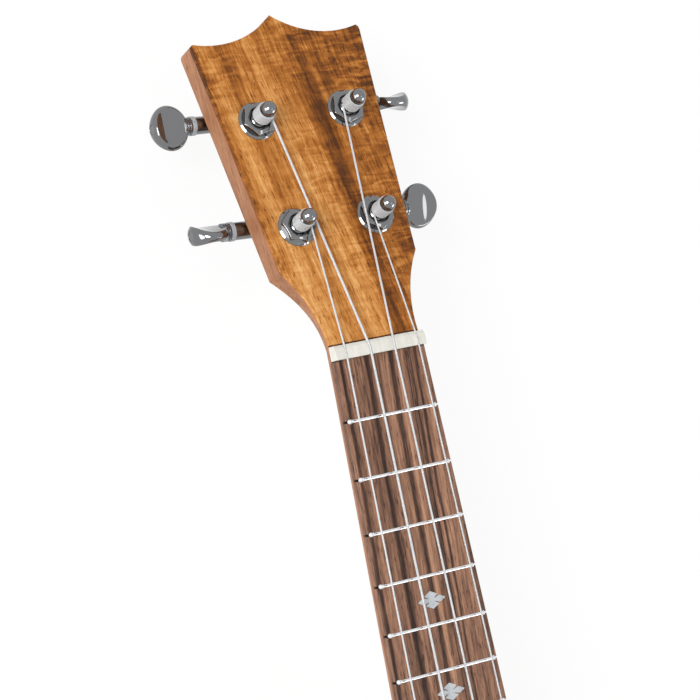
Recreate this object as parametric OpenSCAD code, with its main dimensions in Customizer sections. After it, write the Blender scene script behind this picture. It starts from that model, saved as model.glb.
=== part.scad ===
// Concert ukulele: a hollow figure-of-eight body, a set neck with a tilted crown headstock,
// four strings and four enclosed worm-gear tuners.
// It lies on its back, +Z up, the neck along +Y and the first string on the +X side.
// Heights named "over the face" are measured square to the tilted headstock face.

/* [Body] */
// Length of the body from the neck joint to the tail
body_length = 282; // [276:1:292]
// Greatest width of the upper bout
upper_bout = 156; // [150:1:160]
// Width of the waist
waist = 128; // [122:1:132]
// Greatest width of the lower bout
lower_bout = 208; // [204:1:214]
// Depth of the body over both plates
body_depth = 66; // [60:1:72]
// Radius of the upper bout's sides
upper_radius = 48; // [45:1:50]
// Radius of the lower bout's sides
lower_radius = 66; // [62:1:68]
// Distance from the neck joint to the circle of the upper bout
shoulder_gap = 6; // [4:0.5:10]
// Distance from the tail to the circle of the lower bout
tail_gap = 10; // [7:0.5:14]
// Thickness of the soundboard
top_t = 2.4; // [1.8:0.1:3]
// Thickness of the back
back_t = 2.4; // [1.8:0.1:3]
// Thickness of the bent sides, the ribs
rib_t = 2.4; // [1.8:0.1:3]
// Diameter of the sound hole
sound_hole = 56; // [50:1:60]
// Distance from the fingerboard's end to the sound hole's edge
hole_gap = 7; // [5:1:12]
// Width of the rosette ring
rosette_w = 6; // [4:0.5:8]
// Distance from the sound hole's edge to the rosette
rosette_gap = 4; // [3:0.5:6]
// Depth of the rosette in the soundboard
rosette_t = 1; // [0.6:0.1:1.2]

/* [Inside the body] */
// Width of the lining strips
lining_w = 5.5; // [4:0.5:7]
// Height of the lining strips
lining_h = 9; // [6:0.5:12]
// Width of the neck block
neck_block_w = 56; // [48:1:64]
// Length of the neck block along the body
neck_block_l = 24; // [20:1:30]
// Width of the tail block
tail_block_w = 60; // [50:1:70]
// Length of the tail block along the body
tail_block_l = 15; // [12:1:20]
// Width of the cross braces
brace_w = 8; // [6:0.5:10]
// Height of the cross braces
brace_h = 11; // [8:0.5:14]
// Width of the fan braces
fan_w = 5; // [4:0.5:7]
// Height of the fan braces
fan_h = 6.5; // [5:0.5:9]
// Length of the fan braces
fan_l = 104; // [90:1:108]
// Spacing of the fan braces at their upper ends
fan_spacing = 23; // [18:1:26]
// Angle between neighbouring fan braces
fan_angle = 9; // [6:1:12]
// Thickness of the bridge plate
plate_t = 2; // [1.5:0.1:3]
// Width of the back's centre strip
strip_w = 14; // [10:1:20]
// Thickness of the back's centre strip
strip_t = 2; // [1.5:0.1:3]

/* [Neck and fingerboard] */
// String length from the nut to the saddle
scale_length = 380; // [372:1:388]
// Width of the nut and of the fingerboard beside it
nut_width = 36; // [35:0.1:38]
// Fingerboard width at the twelfth fret
width_at_12 = 45; // [43:0.1:47]
// Fret at which the neck meets the body
body_fret = 14; // [13:1:14]
// Number of frets
fret_count = 18; // [17:1:19]
// Fingerboard thickness
board_t = 2.4; // [2.2:0.1:2.8]
// Fingerboard left past the last fret
board_tail = 6; // [4:0.5:9]
// Radius of the round fret crown
fret_r = 0.65; // [0.55:0.05:0.75]
// Radius of the beads at the ends of the fret crowns
bead_r = 0.85; // [0.8:0.01:0.95]
// Depth of the fret slots
slot_depth = 1.5; // [1.3:0.1:1.7]
// Width of the fret slots
slot_w = 0.6; // [0.5:0.05:0.8]
// Distance that a fret crown stops short of the fingerboard's edge
fret_inset = 0.5; // [0.2:0.05:0.8]
// Neck depth under the fingerboard at the nut
neck_d_nut = 13.5; // [12:0.5:15]
// Neck depth under the fingerboard at the heel
neck_d_heel = 16.5; // [14.5:0.5:18]
// Length of the heel's foot along the neck
heel_foot = 18; // [14:1:22]
// Length of the heel's sweep up to the neck
heel_sweep = 36; // [28:1:44]
// Thickness of the heel cap
cap_t = 3; // [2:0.5:4]
// Width of the neck's tenon
tenon_w = 18; // [14:1:22]
// Length of the neck's tenon past the joint
tenon_l = 14; // [12:1:17]
// Nut thickness along the neck
nut_t = 5; // [4:0.1:6]
// Height of the nut over the fingerboard
nut_rise = 2.1; // [2:0.1:2.6]

/* [Headstock] */
// Backward tilt of the headstock
head_tilt = 12.2; // [9:0.1:14]
// Length of the face from the nut to the crown's middle point
head_length = 123.3; // [118:0.1:128]
// Width of the headstock at the crown's outer points
head_width = 69; // [66:0.1:71]
// Depth of the crown's two hollows below its middle point
crown_depth = 8.8; // [7:0.1:10]
// Distance of each hollow's lowest place from the middle
crown_offset = 23.7; // [22:0.1:26]
// Length of the flare from the nut to the shoulders
flare_l = 29; // [27:0.5:31]
// Radius of the flare
flare_r = 49; // [46:0.5:54]
// Rounding of the crown's outer points
ear_r = 2; // [1:0.1:3]
// Thickness of the headstock's core
core_t = 9.2; // [8.2:0.1:10]
// Thickness of the face veneer
veneer_t = 0.8; // [0.7:0.1:1.2]
// Rounding of the veneer's edge
veneer_r = 0.5; // [0.3:0.1:0.6]
// Drop from the fingerboard to the headstock face behind the nut
face_drop = 1.6; // [1:0.1:2]
// Glue line between the nut and the veneer
nut_gap = 0.05; // [0.02:0.01:0.2]

/* [Tuners] */
// Distance of the upper posts from the middle
upper_post_x = 18; // [17:0.1:19]
// Distance of the upper posts from the nut along the face
upper_post_s = 84.5; // [82:0.5:90]
// Distance of the lower posts from the middle
lower_post_x = 15.9; // [15:0.1:17]
// Distance of the lower posts from the nut along the face
lower_post_s = 44; // [41:0.5:47]
// Turn of each tuner on the headstock, clockwise seen from the front
tuner_turn = 2.3; // [0:0.1:4]
// Radius of the post in its bushing
post_r = 3; // [2.6:0.1:3.4]
// Radius of the post's barrel, where the string winds
barrel_r = 2.5; // [2.3:0.1:2.7]
// Length of the barrel over the bushing
barrel_l = 5.3; // [5.1:0.1:6]
// Radius of the post's ball cap
ball_r = 2.75; // [2.4:0.05:3]
// Height of the ball's centre over the barrel
ball_rise = 2.3; // [2:0.1:2.6]
// Wall of the bushing's sleeve
sleeve_wall = 0.95; // [0.7:0.05:1.2]
// Width of the bushing's hexagon across its flats
hex_af = 11; // [10.6:0.1:11.6]
// Height of the bushing's hexagon
hex_h = 2.4; // [2:0.1:2.6]
// Radius of the washer
washer_r = 7; // [6.8:0.1:7.5]
// Thickness of the washer
washer_t = 0.9; // [0.6:0.1:1]
// Teeth of the worm wheel
wheel_teeth = 14; // [12:1:15]
// Pitch radius of the worm wheel
wheel_r = 4; // [3.8:0.1:4.2]
// Face width of the worm wheel
wheel_w = 2.4; // [2:0.1:2.8]
// Mean radius of the worm
worm_r = 2; // [1.9:0.05:2.1]
// Half the depth of the worm's thread
worm_depth = 0.5; // [0.4:0.05:0.55]
// Length of the worm's thread
worm_l = 8.4; // [7:0.1:8.6]
// Radius of the worm's shaft in its tube
shaft_r = 1.8; // [1.6:0.05:1.9]
// Radius of the worm's inner journal
journal_r = 1.2; // [1:0.05:1.3]
// Depth of the worm's axis behind the headstock
worm_back = 4; // [3.9:0.1:4.6]
// Wall of the gear housing
housing_wall = 1.3; // [1:0.1:1.6]
// Depth of the gear housing behind the headstock
housing_d = 8.2; // [7.8:0.1:9]
// Thickness of the housing's rear cover
cover_t = 1; // [0.8:0.1:1.5]
// Radius of the tube round the worm's shaft
tube_r = 3.15; // [2.8:0.05:3.4]
// Distance from the post to the tube's end
tube_end = 17.1; // [16.5:0.1:17.6]
// Thickness of the plastic spacer beside the button
spacer_t = 1.6; // [1.2:0.1:2]
// Radius of the plastic spacer
spacer_r = 3.45; // [3.2:0.05:3.8]
// Distance from the post to the screw lug
lug_reach = 9; // [8.8:0.1:10]
// Radius of the screw lug
lug_r = 2.6; // [2.4:0.1:3]
// Thickness of the screw lug
lug_t = 2; // [1.5:0.1:2.5]
// Radius of the mounting screw's shank
screw_r = 1; // [0.8:0.05:1.2]

/* [Tuner buttons] */
// Length of the button with its collar
button_l = 14.8; // [14.4:0.1:16]
// Length of the button's oval
oval_l = 14; // [13:0.1:14.2]
// Width of the button's oval
oval_w = 16.4; // [15:0.1:18]
// Thickness of the button at its outer end
button_end_t = 7.7; // [7:0.1:8.5]
// Thickness of the button at its waist
button_waist_t = 4; // [3.8:0.1:4.6]
// Thickness of the button beside its collar
button_neck_t = 5.4; // [5:0.1:6]
// Radius of the button's collar
collar_r = 3.25; // [3:0.05:3.4]
// Length of the button's collar
collar_l = 2.4; // [2:0.1:3]
// Radius of the button screw's head
button_screw_r = 1.7; // [1.4:0.05:2]

/* [Strings and bridge] */
// Spacing of the strings at the nut
nut_spacing = 9.63; // [9:0.01:10]
// Offset of the string set at the nut, towards the first string
nut_offset = 0.5; // [0:0.1:0.8]
// Spacing of the strings at the saddle
saddle_spacing = 14.4; // [13:0.1:15]
// Height of the strings' underside over the fingerboard at the nut
nut_action = 1.5; // [1.3:0.1:1.8]
// Height of the strings' underside over the fingerboard at the saddle
saddle_action = 5.5; // [4.5:0.1:6.5]
// Added string length at the saddle
saddle_shift = 1.5; // [0:0.1:3]
// Height of the lowest turn over the bushing on the left posts
wind_gap_left = 1.9; // [1.6:0.05:1.95]
// Height of the lowest turn over the bushing on the right posts
wind_gap_right = 0.7; // [0.65:0.05:0.9]
// Turns of string on each post
wind_turns = 2; // [1:0.5:2]
// Length of the bridge across the body
bridge_l = 80; // [72:1:90]
// Width of the bridge along the strings
bridge_w = 21; // [19:1:24]
// Height of the bridge
bridge_h = 5.6; // [5.3:0.1:6]
// Height of the bridge's wings at their ends
wing_h = 2.6; // [2.2:0.1:3]
// Thickness of the saddle
saddle_t = 3; // [2.5:0.1:3.5]
// Depth of the saddle's slot in the bridge
saddle_seat = 3.6; // [3:0.1:4]
// Height of the string knots in the bridge
knot_h = 3; // [2.8:0.1:3.2]
// Radius of the string knots
knot_r = 1.35; // [1.1:0.05:1.5]
// Depth of the pockets that hold the knots
knot_pocket = 4; // [3.5:0.1:5]

/* [Hidden] */
STRINGS = ["g", "c", "e", "a"];
string_d = [0.68, 0.9, 0.78, 0.6];
button_turn = [-62, 8, -70, 25];
marker_frets = [5, 7, 10, 12, 15];

function named(stem) = [for (s = STRINGS) str(stem, "_", s)];

// Clearances
fit = 0.05;
glue = 0.05;
string_lift = 0.03;
eps = 0.01;
past = 1;

// Places along the neck, with the part's middle at the origin
function fret_at(n) = scale_length * (1 - pow(2, -n / 12));
function board_width(d) = nut_width + (width_at_12 - nut_width) * d / fret_at(12);
face_start = nut_t + nut_gap + veneer_t * sin(head_tilt);
joint_from_nut = fret_at(body_fret);
reach = face_start + head_length * cos(head_tilt);
nut_y = joint_from_nut + body_length - (joint_from_nut + body_length + reach) / 2;
joint_y = nut_y - joint_from_nut;
tail_y = joint_y - body_length;
board_end = fret_at(fret_count) + board_tail;
saddle_y = nut_y - scale_length - saddle_shift;
board_z = body_depth + board_t;
chamber_h = body_depth - top_t - back_t;
top_under = body_depth - top_t;

function unit(v) = v / norm(v);
function arc(c, r, a0, a1, n) = [for (i = [1:n]) let(a = a0 + (a1 - a0) * i / n) c + r * [cos(a), sin(a)]];
function heading(a, b) = atan2(b.y - a.y, b.x - a.x);
function mirrored(p) = [for (i = [len(p) - 2:-1:1]) [-p[i].x, p[i].y]];
function signed_pow(v, e) = sign(v) * pow(abs(v), e);
// Moves a clockwise outline inwards by d
function inset(p, d) = let(n = len(p)) [for (i = [0:n - 1])
    let(u = unit(p[i] - p[(i + n - 1) % n]), v = unit(p[(i + 1) % n] - p[i]),
        nu = [u.y, -u.x], nv = [v.y, -v.x])
    p[i] + d * (nu + nv) / (1 + nu * nv)];

// Body outline: five tangent arcs a side. The waist's arc touches both bouts and the waist's width
upper_drop = upper_radius + shoulder_gap;
tail_drop = lower_radius + tail_gap;
upper_c = [upper_bout / 2 - upper_radius, joint_y - upper_drop];
lower_c = [lower_bout / 2 - lower_radius, tail_y + tail_drop];
bout_gap = upper_c.y - lower_c.y;
upper_in = (upper_bout - waist) / 2;
lower_in = (lower_bout - waist) / 2;
waist_k = pow(bout_gap, 2) - upper_in * (2 * (upper_radius - lower_radius) + lower_in - upper_in);
waist_rise = waist_k / (bout_gap + sqrt(pow(bout_gap, 2) + (upper_in / lower_in - 1) * waist_k));
waist_radius = (pow(waist_rise, 2) / lower_in - 2 * lower_radius + lower_in) / 2;
waist_c = [waist / 2 + waist_radius, lower_c.y + waist_rise];
function end_radius(x, drop, r) = (x * x + drop * drop - r * r) / (2 * (drop - r));
shoulder_radius = end_radius(upper_c.x, upper_drop, upper_radius);
tail_radius = end_radius(lower_c.x, tail_drop, lower_radius);
shoulder_c = [0, joint_y - shoulder_radius];
tail_c = [0, tail_y + tail_radius];
right_side = concat([[0, joint_y]],
    arc(shoulder_c, shoulder_radius, 90, heading(shoulder_c, upper_c), 8),
    arc(upper_c, upper_radius, heading(shoulder_c, upper_c), heading(upper_c, waist_c), 14),
    arc(waist_c, waist_radius, heading(waist_c, upper_c), heading(waist_c, lower_c) + 360, 12),
    arc(lower_c, lower_radius, heading(lower_c, waist_c), heading(tail_c, lower_c), 18),
    arc(tail_c, tail_radius, heading(tail_c, lower_c), -90, 9));
outline = concat(right_side, mirrored(right_side));

module body_slab(z, h, d = 0) {
    translate([0, 0, z]) linear_extrude(h) polygon(inset(outline, d));
}

// Box centred in x, from y0 to y1 and z0 to z1
module block(w, y0, y1, z0, z1) {
    translate([-w / 2, y0, z0]) cube([w, y1 - y0, z1 - z0]);
}

hole_y = nut_y - board_end - hole_gap - sound_hole / 2;
hole_r = sound_hole / 2;

module rosette_ring(gap, h) translate([0, hole_y, body_depth - rosette_t]) difference() {
    cylinder(r = hole_r + rosette_gap + rosette_w + gap, h = h, $fn = 96);
    translate([0, 0, -past]) cylinder(r = hole_r + rosette_gap - gap, h = h + 2 * past, $fn = 96);
}

module soundboard() color("peru") difference() {
    body_slab(top_under, top_t);
    translate([0, hole_y, top_under - past]) cylinder(r = hole_r, h = top_t + 2 * past, $fn = 96);
    rosette_ring(glue, rosette_t + past);
}

module rosette() color("saddlebrown") rosette_ring(0, rosette_t);

module back() color("peru") body_slab(0, back_t);

module side(hand) difference() {
    intersection() {
        body_slab(back_t, chamber_h);
        translate([hand > 0 ? 0 : -lower_bout, tail_y - past, back_t])
            cube([lower_bout, body_length + 2 * past, chamber_h]);
    }
    body_slab(back_t - past, chamber_h + 2 * past, rib_t);
    block(tenon_w + 2 * fit, joint_y - upper_drop, joint_y + past, back_t - past, body_depth);
}
module side_bass() color("sienna") side(-1);
module side_treble() color("sienna") side(1);

// The blocks stand against the inside of the sides
neck_block_end = joint_y - rib_t - neck_block_l;
tail_block_end = tail_y + rib_t + tail_block_l;
module neck_block_space() block(neck_block_w, neck_block_end, joint_y, back_t, top_under);
module tail_block_space() block(tail_block_w, tail_y, tail_block_end, back_t, top_under);

module lining(z) difference() {
    body_slab(z, lining_h, rib_t);
    body_slab(z - past, lining_h + 2 * past, rib_t + lining_w);
    neck_block_space();
    tail_block_space();
}
module top_linings() color("burlywood") lining(top_under - lining_h);
module back_linings() color("burlywood") lining(back_t);

tenon_low = back_t + 8;
tenon_high = top_under - 2;
module neck_block() color("tan") difference() {
    intersection() {
        body_slab(back_t, chamber_h, rib_t);
        neck_block_space();
    }
    block(tenon_w + 2 * fit, joint_y - tenon_l - fit, joint_y + past, tenon_low - fit, tenon_high + fit);
}
module tail_block() color("tan") intersection() {
    body_slab(back_t, chamber_h, rib_t);
    tail_block_space();
}

// Bar with a ridged lower side, its top at the origin, along x
module brace_bar(w, h, l) {
    rotate([90, 0, 90]) translate([0, 0, -l / 2]) linear_extrude(l)
        polygon([[-w / 2, 0], [w / 2, 0], [w / 2, -0.55 * h], [0, -h], [-w / 2, -0.55 * h]]);
}
brace_trim = rib_t + lining_w + 0.3;
upper_brace_y = hole_y + hole_r + brace_w;
lower_brace_y = hole_y - hole_r - rosette_gap - rosette_w - brace_w;
plate_w = bridge_w + 8;
plate_l = bridge_l + 8;
bridge_front = saddle_y + bridge_w / 3;
bridge_back = bridge_front - bridge_w;
bridge_mid = (bridge_front + bridge_back) / 2;
module plate_space()
    block(plate_l, bridge_mid - plate_w / 2, bridge_mid + plate_w / 2, top_under - plate_t, top_under);

module soundboard_braces() color("wheat") {
    intersection() {
        for (y = [upper_brace_y, lower_brace_y])
            translate([0, y, top_under]) brace_bar(brace_w, brace_h, lower_bout);
        body_slab(top_under - brace_h - past, brace_h + 2 * past, brace_trim);
    }
    difference() {
        for (i = [-1:1])
            translate([i * fan_spacing, lower_brace_y - brace_w / 2 - fan_w, top_under])
                rotate([0, 0, i * fan_angle - 90]) translate([fan_l / 2, 0, 0])
                    brace_bar(fan_w, fan_h, fan_l);
        plate_space();
    }
}
module bridge_plate() color("wheat") plate_space();

back_brace_y = [upper_c.y, (waist_c.y + lower_c.y) / 2 - brace_w, lower_c.y - 2 * brace_w];
module back_braces() color("wheat") intersection() {
    for (y = back_brace_y)
        translate([0, y, back_t]) rotate([180, 0, 0]) brace_bar(brace_w, brace_h, lower_bout);
    body_slab(back_t - past, brace_h + 2 * past, brace_trim);
}
module back_strip() color("wheat") difference() {
    block(strip_w, tail_block_end, neck_block_end, back_t, back_t + strip_t);
    for (y = back_brace_y)
        block(strip_w + past, y - brace_w / 2, y + brace_w / 2, back_t - past, back_t + strip_t + past);
}

// Frame of the headstock face: x across, y along the face from the nut, z out of the face
face_o = [0, nut_y + face_start, board_z - face_drop];
module on_face() {
    translate(face_o) rotate([-head_tilt, 0, 0]) children();
}
function from_face(p) = [p.x, face_o.y + p.y * cos(head_tilt) + p.z * sin(head_tilt),
                         face_o.z - p.y * sin(head_tilt) + p.z * cos(head_tilt)];
function to_face(p) = let(q = p - face_o)
    [p.x, q.y * cos(head_tilt) - q.z * sin(head_tilt), q.y * sin(head_tilt) + q.z * cos(head_tilt)];

// Measures of the headstock and its gears
head_t = core_t + veneer_t;
bush_top = washer_t + hex_h;
barrel_top = bush_top + barrel_l;
ball_h = barrel_top + ball_rise;
screw_bite = 6;
seat_gap = 0.02;
gear_room = 0.4;
worm_c = wheel_r + worm_r;
worm_z = -head_t - worm_back;
worm_pitch = 2 * PI * wheel_r / wheel_teeth;
wheel_tip = wheel_r + 0.6 * worm_depth;
wheel_root = wheel_r - 1.4 * worm_depth;

// Crown: two round hollows that meet at the middle point
crown_r = (crown_offset * crown_offset + crown_depth * crown_depth) / (2 * crown_depth);
crown_s = head_length - crown_depth + crown_r;
ear_s = crown_s - sqrt(crown_r * crown_r - pow(head_width / 2 - crown_offset, 2));
ear_start = ear_s - 1.1 * ear_r;
flare_end = nut_width / 2 + flare_r - sqrt(flare_r * flare_r - flare_l * flare_l);
// Half the headstock's width at a distance along the face
function head_half(s) =
    s <= flare_l ? nut_width / 2 + flare_r - sqrt(flare_r * flare_r - s * s)
    : let(side = flare_end + (head_width / 2 - flare_end) * (s - flare_l) / (ear_s - flare_l))
      s <= ear_start ? side : side - ear_r + sqrt(max(0, ear_r * ear_r - pow(s - ear_start, 2)));
head_steps = concat([for (i = [0:8]) flare_l * i / 8], [flare_l + 2, ear_start],
                    [for (a = [25:21.6:90]) ear_start + ear_r * sin(a)], [head_length + past]);

module crown_cut() on_face() {
    for (x = [-crown_offset, crown_offset])
        translate([x, crown_s, -head_t - past]) cylinder(r = crown_r, h = head_t + 2 * past, $fn = 180);
}

// Skin over rings of points that all have the same count, closed at both ends
module loft(rings) {
    m = len(rings[0]);
    n = len(rings);
    sides = [for (i = [0:n - 2], k = [0:m - 1], half = [0, 1])
        let(a = i * m + k, b = i * m + (k + 1) % m) half == 0 ? [a, b + m, b] : [a, a + m, b + m]];
    ends = [for (k = [1:m - 2], last = [0, 1]) let(o = last * (n - 1) * m)
        last == 0 ? [o, o + k, o + k + 1] : [o, o + k + 1, o + k]];
    polyhedron([for (r = rings) each r], concat(sides, ends), convexity = 6);
}

// Section with a flat top, width w and depth d: t = 1 is round-backed, t = 0 flat-backed
section_n = 16;
back_edge_r = 1;
neck_round = 1.1;
function round_back(k, w, d) = let(a = 180 * k / section_n)
    [w / 2 * signed_pow(cos(a), neck_round), -d * signed_pow(sin(a), neck_round)];
function flat_back(k, w, d) = k > section_n / 2 ? let(p = flat_back(section_n - k, w, d)) [-p.x, p.y]
    : k == 0 ? [w / 2, 0]
    : k > 5 ? [w / 2 * (section_n / 2 - k) / 4, -d]
    : let(a = 22.5 * (k - 1)) [w / 2 - back_edge_r * (1 - cos(a)), -d + back_edge_r * (1 - sin(a))];
function section(y, z, tilt, w, d, t) = [for (k = [0:section_n])
    let(p = t * round_back(k, w, d) + (1 - t) * flat_back(k, w, d))
    [p.x, y + p.y * sin(tilt), z + p.y * cos(tilt)]];

blend_l = min(flare_l, lower_post_s - lug_reach - lug_r - past);
heel_d = 1.25 * body_depth;
core_start_d = (face_o.z - veneer_t - (body_depth - neck_d_nut)) / cos(head_tilt);
seat_ramp = 8;
function board_width_y(y) = board_width(nut_y - y);
function heel_section(y, d) = section(y, body_depth, 0, board_width_y(y), d, 1);
function head_section(s) =
    let(o = from_face([0, s, -veneer_t]), t = s < blend_l ? 1 - pow(s / blend_l, 2.5) : 0)
    section(o.y, o.z, head_tilt, 2 * head_half(s), core_t + (core_start_d - core_t) * t, t);
neck_rings = concat(
    [heel_section(joint_y - tenon_l / 2, heel_d)],
    [for (a = [0:15:90]) heel_section(joint_y + heel_foot + heel_sweep * (1 - cos(a)),
                                      heel_d - (heel_d - neck_d_heel) * sin(a))],
    [heel_section(nut_y - seat_ramp, neck_d_nut)],
    [for (s = head_steps) head_section(s)]);

module neck_body(z0, z1) difference() {
    intersection() {
        loft(neck_rings);
        block(lower_bout, joint_y - tenon_l, nut_y + reach + past, z0, z1);
    }
    body_slab(-past, body_depth + 2 * past);
}

// The posts, one to a string
posts = [[-lower_post_x, lower_post_s], [-upper_post_x, upper_post_s],
         [upper_post_x, upper_post_s], [lower_post_x, lower_post_s]];
bush_r = post_r + fit + sleeve_wall;
module at_post(i) on_face() translate([posts[i].x, posts[i].y, 0]) children();
// Frame of a whole tuner: x towards its button, y towards the crown
module at_tuner(i) at_post(i) rotate([0, 0, -tuner_turn]) mirror([posts[i].x < 0 ? 1 : 0, 0, 0]) children();

module bushing_holes() {
    for (i = [0:3]) at_post(i)
        translate([0, 0, -head_t - past]) cylinder(r = bush_r + fit, h = head_t + 2 * past, $fn = 48);
}

module neck() color("rosybrown") {
    difference() {
        union() {
            neck_body(cap_t, board_z + past);
            block(tenon_w, joint_y - tenon_l, joint_y + heel_foot / 2, tenon_low, tenon_high);
        }
        block(2 * head_width, nut_y - seat_ramp, nut_y + nut_t, body_depth, board_z + 2 * past);
        crown_cut();
        bushing_holes();
        for (i = [0:3]) at_tuner(i) translate([0, -lug_reach, -head_t - past])
            cylinder(r = screw_r + fit, h = screw_bite + past + fit, $fn = 24);
    }
}
module heel_cap() color("saddlebrown") neck_body(0, cap_t);

function veneer_section(s) = let(w = head_half(s))
    [for (hand = [-1, 1], k = [0:4]) let(j = hand < 0 ? k : 4 - k, a = 30 * (j - 1))
        from_face([hand * (j == 0 ? w : w - veneer_r * (1 - cos(a))), s,
                   j == 0 ? -veneer_t : -veneer_r * (1 - sin(a))])];
module headstock_veneer() color("goldenrod") difference() {
    loft([for (s = head_steps) veneer_section(s)]);
    crown_cut();
    bushing_holes();
}

// Pearl snowflake: two wide diamonds along the neck and two slim ones across it
marker_half = [[0, 3.1], [2.7, 1.7], [0.95, 0.48], [3.4, 1.2], [5.6, 0],
               [3.4, -1.2], [0.95, -0.48], [2.7, -1.7], [0, -3.1]];
marker_shape = concat(marker_half, mirrored(marker_half));
marker_t = 1.2;
module markers(gap) {
    for (n = marker_frets)
        translate([0, nut_y - (fret_at(n) + fret_at(n - 1)) / 2, board_z - marker_t])
            linear_extrude(gap > 0 ? marker_t + past : marker_t) polygon(inset(marker_shape, -gap));
}

module fingerboard() color("saddlebrown") difference() {
    translate([0, nut_y, body_depth]) linear_extrude(board_t)
        polygon([[-nut_width / 2, 0], [nut_width / 2, 0],
                 [board_width(board_end) / 2, -board_end], [-board_width(board_end) / 2, -board_end]]);
    for (n = [1:fret_count]) let(y = nut_y - fret_at(n))
        block(2 * head_width, y - slot_w / 2, y + slot_w / 2, board_z - slot_depth, board_z + past);
    markers(glue);
}
module position_markers() color("whitesmoke") markers(0);

// Fret wire: a half-round crown with beaded ends over a thin tang
tang_short = 2;
bead_turn = 180 - asin(fret_r / bead_r);
bead_n = 7;
module fret(l) {
    half = l / 2 - bead_r;
    bead = [for (k = [0:bead_n]) let(a = bead_turn * k / bead_n) [bead_r * sin(a), half + bead_r * cos(a)]];
    rotate([90, 0, 90]) rotate_extrude(angle = 180, $fn = 48)
        polygon(concat([for (p = bead) [p.x, -p.y]], [for (k = [len(bead) - 1:-1:0]) bead[k]]));
    block(l - 2 * tang_short, -slot_w / 2 + fit, slot_w / 2 - fit, fit - slot_depth, fret_r / 2);
}
module frets() color("silver") {
    for (n = [1:fret_count])
        translate([0, nut_y - fret_at(n), board_z]) fret(board_width(fret_at(n)) - 2 * fret_inset);
}

// Where each string crosses the nut and the saddle
function nut_x(i) = (i - 1.5) * nut_spacing + nut_offset;
function saddle_x(i) = (i - 1.5) * saddle_spacing;
nut_floor = board_z + nut_action;
saddle_top = board_z + saddle_action;
function nut_bend(i) = [nut_x(i), nut_y + nut_t / 2, nut_floor + string_lift + string_d[i] / 2];

// The winding on a post, in the frame of the face
loop_n = 24;
function wind_r(i) = barrel_r + 2 * fit + string_d[i] / 2;
function wind_pitch(i) = string_d[i] + 0.45;
function wind_hand(i) = posts[i].x < 0 ? 1 : -1;
function wind_base(i) = bush_top + (posts[i].x < 0 ? wind_gap_left : wind_gap_right);
function off_post(i) = let(b = to_face(nut_bend(i)), d = [b.x, b.y] - posts[i])
    atan2(d.y, d.x) + wind_hand(i) * acos(wind_r(i) / norm(d));
function wind_point(i, turn) = let(a = off_post(i) + wind_hand(i) * 360 * turn)
    [posts[i].x + wind_r(i) * cos(a), posts[i].y + wind_r(i) * sin(a), wind_base(i) + wind_pitch(i) * turn];
function string_end(i) = let(t = wind_point(i, 0))
    t + string_d[i] * unit(to_face(nut_bend(i)) - t);
function wind_end_angle(i) = off_post(i) + wind_hand(i) * 360 * wind_turns;
function wind_end_h(i) = wind_base(i) + wind_pitch(i) * wind_turns;
function wind_route(i) = let(a = wind_end_angle(i), inward = wind_r(i) - string_d[i])
    concat([string_end(i)], [for (k = [0:loop_n * wind_turns]) wind_point(i, k / loop_n)],
           [[posts[i].x + inward * cos(a), posts[i].y + inward * sin(a), wind_end_h(i)]]);

// Round tube along a route that never runs straight up
function tangent(p, i) = let(n = len(p) - 1)
    i == 0 ? unit(p[1] - p[0]) : i == n ? unit(p[n] - p[n - 1])
    : unit(unit(p[i + 1] - p[i]) + unit(p[i] - p[i - 1]));
function tube_ring(p, i, r, sides) =
    let(t = tangent(p, i), u = unit(cross(t, [0, 0, 1])), v = cross(u, t))
    [for (k = [0:sides - 1]) let(a = 360 * k / sides) p[i] + r * (cos(a) * u - sin(a) * v)];
module tube(route, r, sides) loft([for (i = [0:len(route) - 1]) tube_ring(route, i, r, sides)]);

function least_gap(p, d) =
    min([for (i = [0:len(p) - 1 - loop_n / 2], j = [i + loop_n / 2:len(p) - 1]) norm(p[i] - p[j])]) - d;
for (i = [0:3])
    echo(str("Winding ", STRINGS[i], " least gap to itself ", least_gap(wind_route(i), string_d[i]), " mm"));

module winding(i) color("whitesmoke") on_face() tube(wind_route(i), string_d[i] / 2, 6);

// A string runs from its knot over the round saddle, along the board, over the nut and to its post
saddle_r = saddle_t / 2;
crown_z = saddle_top - saddle_r;
wrap_n = 5;
function knot_at(i) = [saddle_x(i), bridge_back + knot_pocket - knot_r - fit, body_depth + knot_h];
function wrap_r(i) = saddle_r + string_lift + string_d[i] / 2;
function wrap_start(i) = let(k = knot_at(i), q = [k.y - saddle_y, k.z - crown_z])
    atan2(q.y, q.x) + 360 - acos(wrap_r(i) / norm(q));
function string_route(i) =
    let(a0 = wrap_start(i), step = (a0 - 90) / wrap_n, r = wrap_r(i) / cos(step / 2))
    concat([knot_at(i)],
           [for (k = [0:wrap_n]) let(a = a0 - k * step)
               [saddle_x(i), saddle_y + r * cos(a), crown_z + r * sin(a)]],
           [nut_bend(i) - [0, nut_t / 2, 0], nut_bend(i), from_face(string_end(i))]);
module string(i) color("whitesmoke") {
    tube(string_route(i), string_d[i] / 2, 8);
    translate(knot_at(i)) sphere(r = knot_r, $fn = 32);
}

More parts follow.
